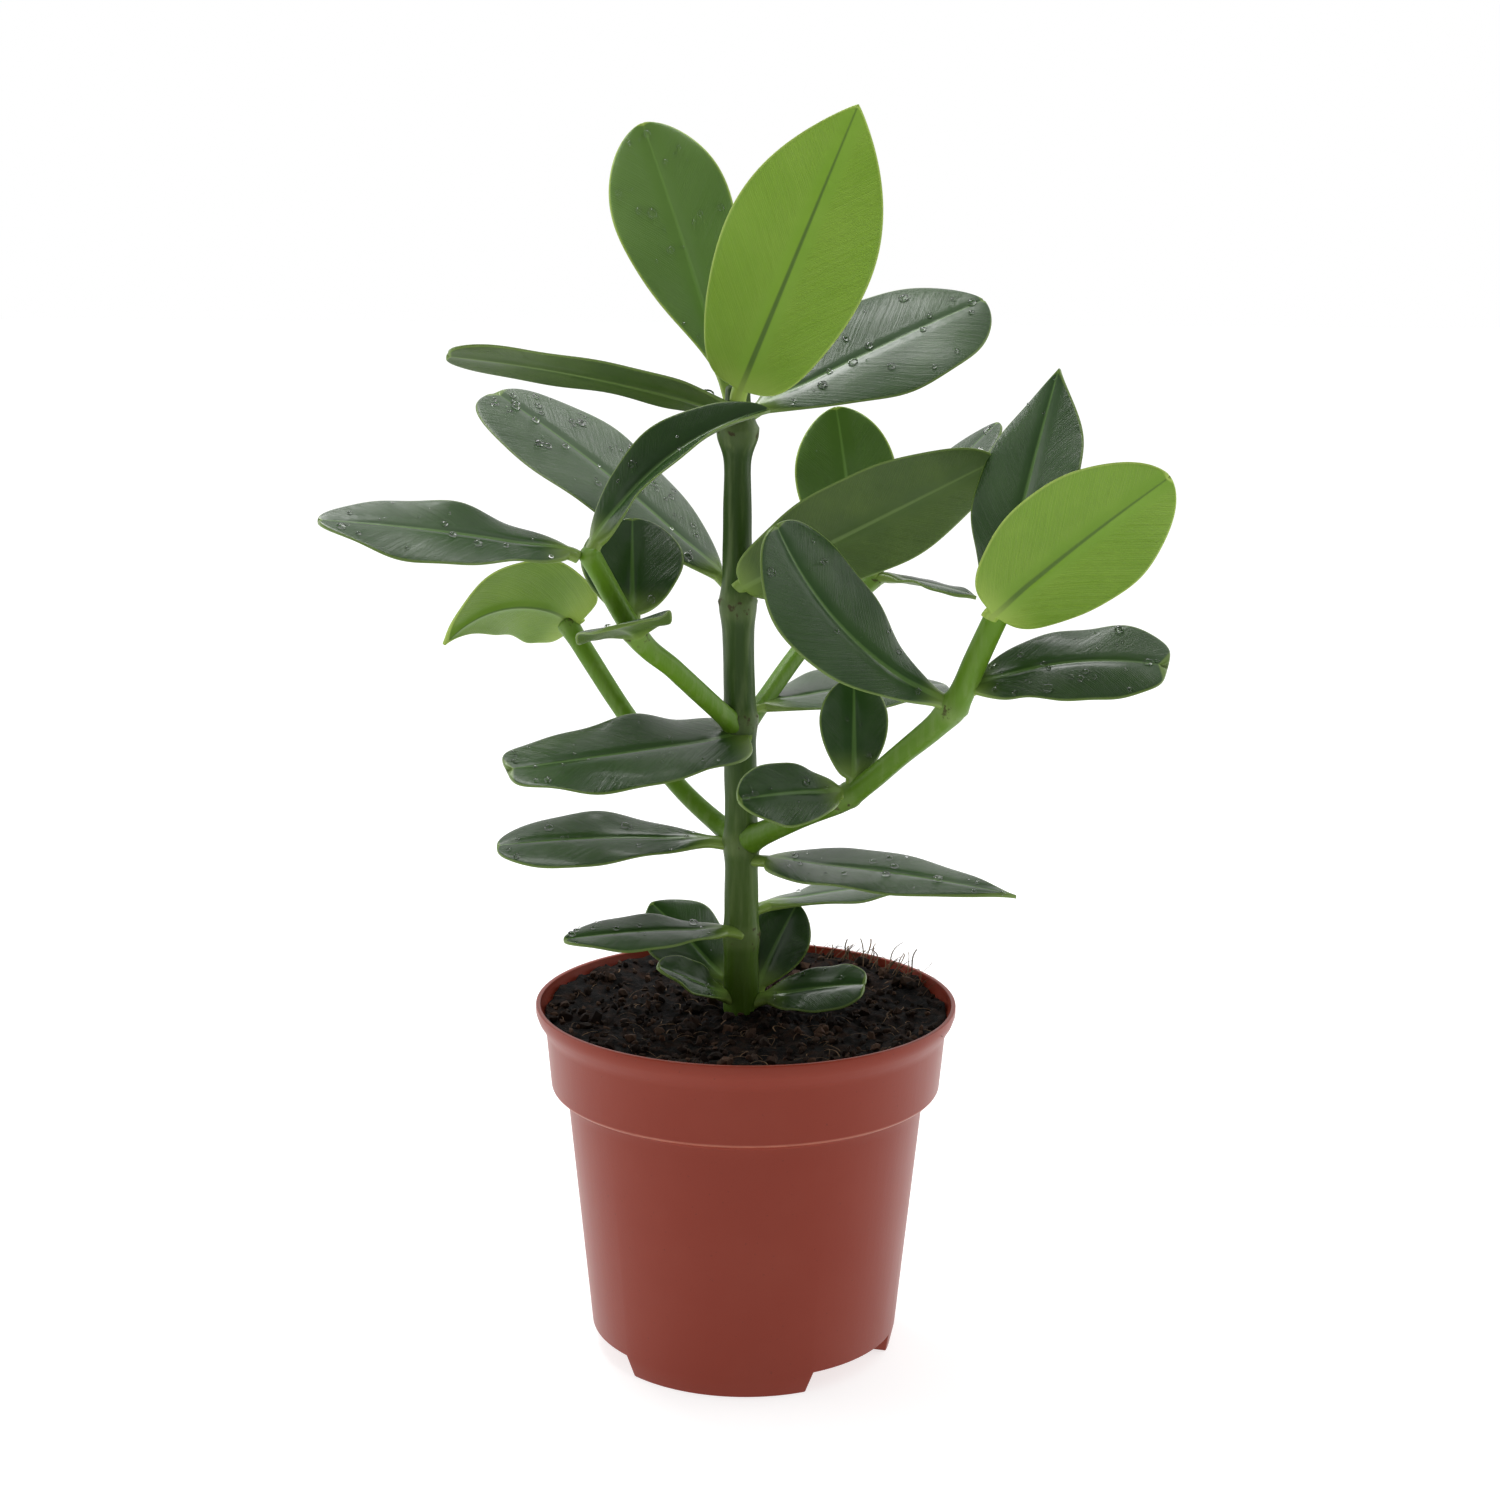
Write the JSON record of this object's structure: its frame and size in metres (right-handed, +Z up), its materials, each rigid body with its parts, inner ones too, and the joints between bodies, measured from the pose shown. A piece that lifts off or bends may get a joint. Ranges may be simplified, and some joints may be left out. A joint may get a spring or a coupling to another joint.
{
  "type": "potted autograph tree",
  "caption": "Young branching plant with thick oval leaves in opposite pairs on an upright green stem, rooted in dark soil in a footed round nursery pot",
  "frame": {"origin": "on the floor under the pot's axis", "axes": "+Z up the stem, -Y the front, +X to the right seen from the front"},
  "size_m": [0.2184, 0.1326, 0.3516],
  "materials": {
    "pot_plastic": "thin terracotta-coloured plastic with a soft sheen",
    "potting_soil": "moist dark peat with brown coir fibres",
    "main_stem_bark": "smooth green stem, yellower at the foot and darker higher up",
    "branch_bark": "smooth bright green young shoot",
    "dark_leaf": "thick leathery dark green leaf with a waxy gloss, pale margin and water drops",
    "young_leaf": "thick leathery light yellow-green young leaf with a soft gloss"
  },
  "bodies": {
    "root": {"branch_front_left": "branch_bark", "branch_rear_left": "branch_bark", "branch_rear_right": "branch_bark", "branch_right": "branch_bark", "leaf_fifth_left": "dark_leaf", "leaf_fifth_right": "dark_leaf", "leaf_fourth_left": "dark_leaf", "leaf_fourth_right": "dark_leaf", "leaf_front_branch_front": "dark_leaf", "leaf_front_branch_rear": "dark_leaf", "leaf_front_branch_tip_left": "dark_leaf", "leaf_front_branch_tip_right": "dark_leaf", "leaf_left_branch_tip": "young_leaf", "leaf_low_left": "dark_leaf", "leaf_low_right": "dark_leaf", "leaf_rear_branch_low": "dark_leaf", "leaf_rear_branch_tip": "dark_leaf", "leaf_rear_branch_upright": "young_leaf", "leaf_right_branch_low_left": "dark_leaf", "leaf_right_branch_low_upright": "dark_leaf", "leaf_right_branch_tip_rear": "dark_leaf", "leaf_right_branch_tip_right": "young_leaf", "leaf_right_branch_upper_left": "dark_leaf", "leaf_right_branch_upper_right": "dark_leaf", "leaf_second_left": "dark_leaf", "leaf_second_right": "dark_leaf", "leaf_soil_front_left": "dark_leaf", "leaf_soil_rear_left": "dark_leaf", "leaf_soil_rear_right": "dark_leaf", "leaf_soil_right": "dark_leaf", "leaf_third_front": "dark_leaf", "leaf_third_rear": "dark_leaf", "leaf_top_front": "young_leaf", "leaf_top_rear": "young_leaf", "main_stem": "main_stem_bark", "pot": "pot_plastic", "soil": "potting_soil"}
  },
  "joints": []
}
